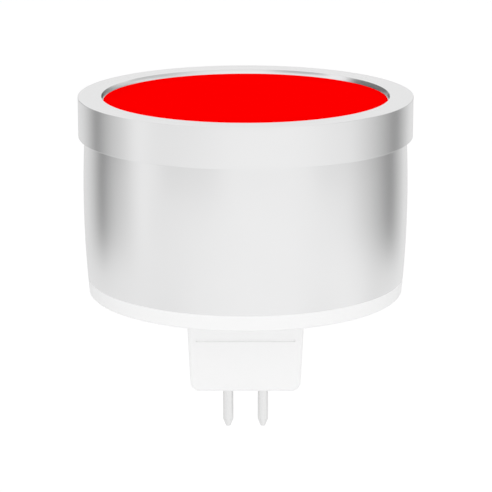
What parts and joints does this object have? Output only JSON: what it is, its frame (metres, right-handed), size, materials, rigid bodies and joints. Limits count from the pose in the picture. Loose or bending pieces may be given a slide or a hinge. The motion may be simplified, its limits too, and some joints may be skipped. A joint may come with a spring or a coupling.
{
  "type": "led spotlight bulb",
  "caption": "Short round LED spotlight bulb: barrel-shaped aluminium body, front bezel round a flat red lens, white rear housing and a narrow plug-in base with contact pins.",
  "frame": {"origin": "middle of the pin pair on the base's seating face", "axes": "+Z along the lamp's axis from the pins to the lens, +X along the line through the two pins"},
  "size_m": [0.05, 0.05, 0.0518],
  "materials": {
    "bezel_metal": "satin turned aluminium",
    "body_metal": "satin turned aluminium",
    "red_lens": "frosted red",
    "white_plastic": "fine moulded white",
    "pin_metal": "bright nickel plate",
    "led_board_mask": "white solder mask on a metal core",
    "led_package": "ceramic package with a yellow phosphor window",
    "screw_steel": "zinc plate",
    "circuit_board": "green solder mask",
    "chip_black": "moulded epoxy",
    "capacitor_can": "dark sleeve on an aluminium can",
    "ferrite": "pressed ferrite",
    "copper_wire": "enamelled copper",
    "lead_red": "insulated lead",
    "lead_black": "insulated lead"
  },
  "bodies": {
    "root": {"bezel_ring": "bezel_metal", "lens": "red_lens", "heat_sink_body": "body_metal", "rear_housing": "white_plastic", "contact_pin_left": "pin_metal", "contact_pin_right": "pin_metal", "led_board": "led_board_mask", "board_screws": "screw_steel", "driver_board": "circuit_board", "bridge_rectifier": "chip_black", "driver_ic": "chip_black", "freewheel_diode": "chip_black", "sense_resistor": "chip_black", "electrolytic_capacitor": "capacitor_can", "inductor_core": "ferrite", "inductor_winding": "copper_wire", "led_lead_positive": "lead_red", "led_lead_negative": "lead_black", "led_1": "led_package", "led_2": "led_package", "led_3": "led_package", "led_4": "led_package", "led_5": "led_package", "led_6": "led_package"}
  },
  "joints": []
}
